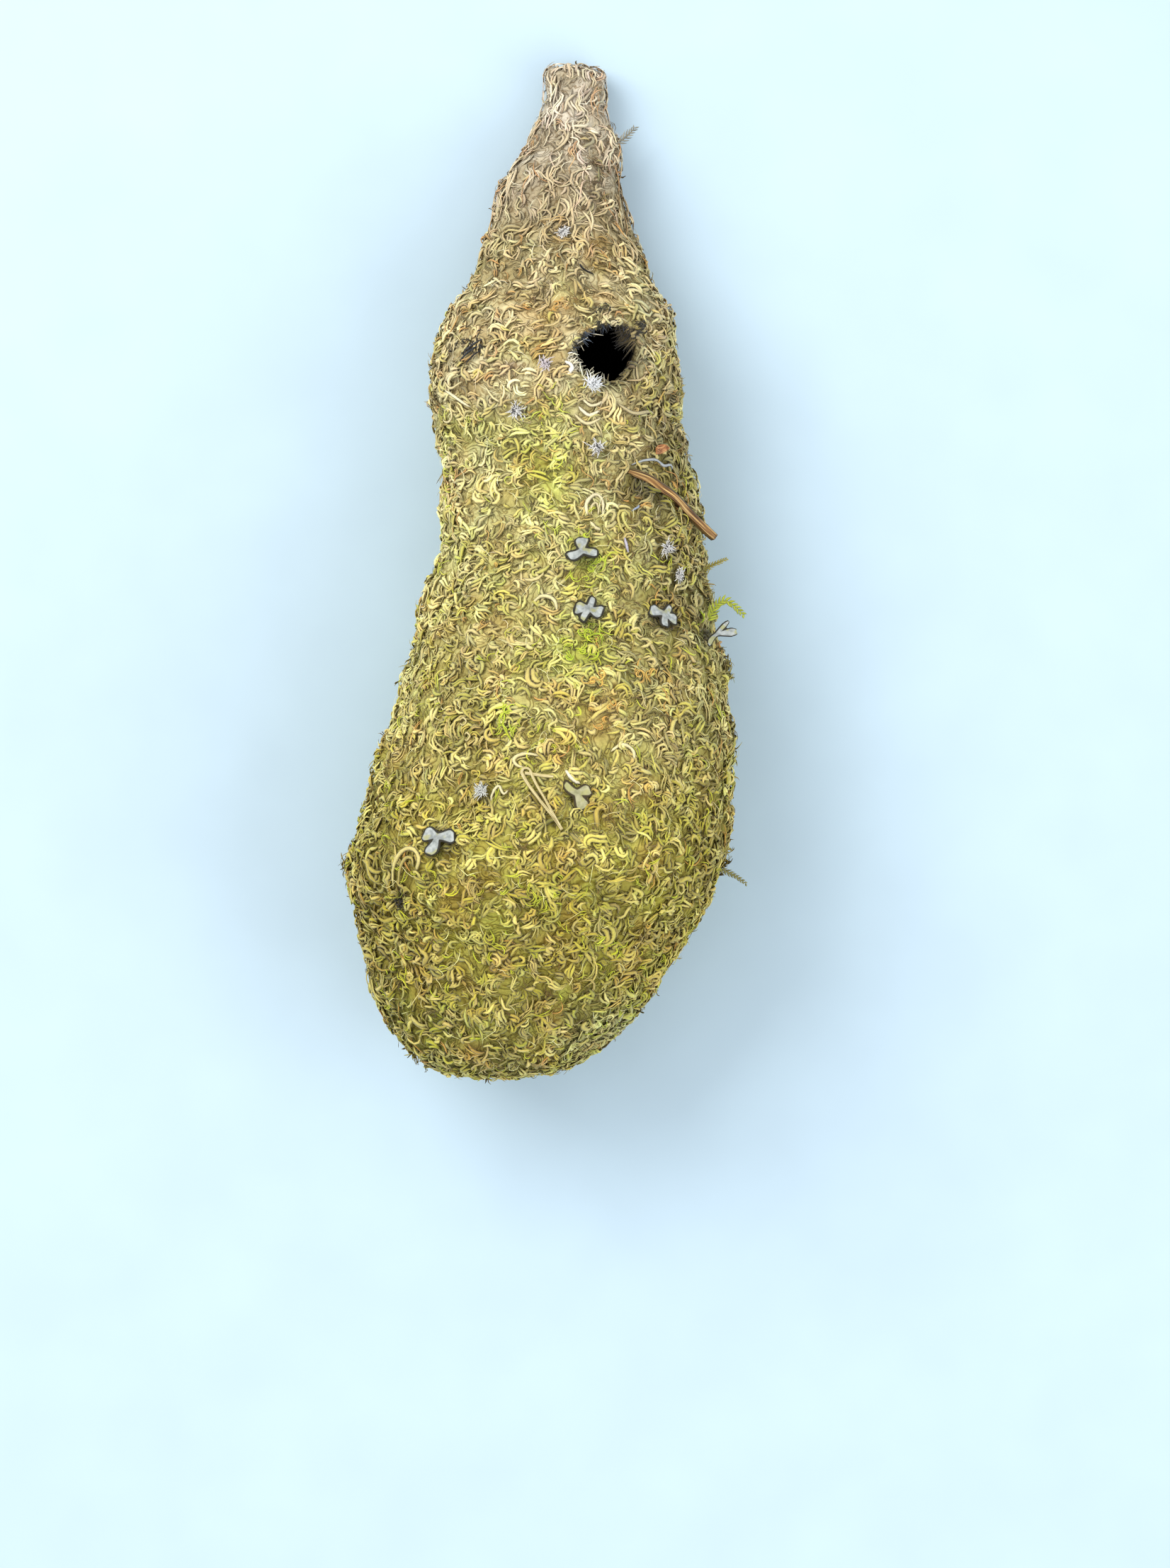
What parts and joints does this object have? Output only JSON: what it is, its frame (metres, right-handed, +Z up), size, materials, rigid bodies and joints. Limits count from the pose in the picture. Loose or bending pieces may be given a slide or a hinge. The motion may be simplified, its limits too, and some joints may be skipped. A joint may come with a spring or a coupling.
{
  "type": "bushtit nest",
  "caption": "Hollow hanging pouch of felted moss, lichen and spider silk, with a hooded side entrance near its neck, laid on its back.",
  "frame": {"origin": "middle of the footprint, on the surface that the nest lies on", "axes": "+X across the nest, to the right as seen from its front; +Y along the nest towards its neck; +Z up, out of the front with the entrance"},
  "size_m": [0.1202, 0.3076, 0.0975],
  "materials": {
    "felted_moss": "matte felt of curled moss and lichen",
    "grey_lichen": "matte, leathery",
    "green_moss": "matte, feathery",
    "brown_twig": "weathered bark with bare ends",
    "dry_grass": "dry straw, slightly glossy",
    "bark": "rough, matte"
  },
  "bodies": {
    "root": {"pouch": "felted_moss", "twig": "brown_twig", "grass_stalk": "dry_grass", "bark_chip": "bark", "lichen_flake_upper": "grey_lichen", "lichen_flake_middle": "grey_lichen", "lichen_flake_right": "grey_lichen", "lichen_flake_lower": "grey_lichen", "lichen_flake_left": "grey_lichen", "lichen_flake_edge": "grey_lichen", "moss_sprig_upper": "green_moss", "moss_sprig_fern": "green_moss", "moss_sprig_lower": "green_moss", "moss_sprig_neck": "green_moss"}
  },
  "joints": []
}
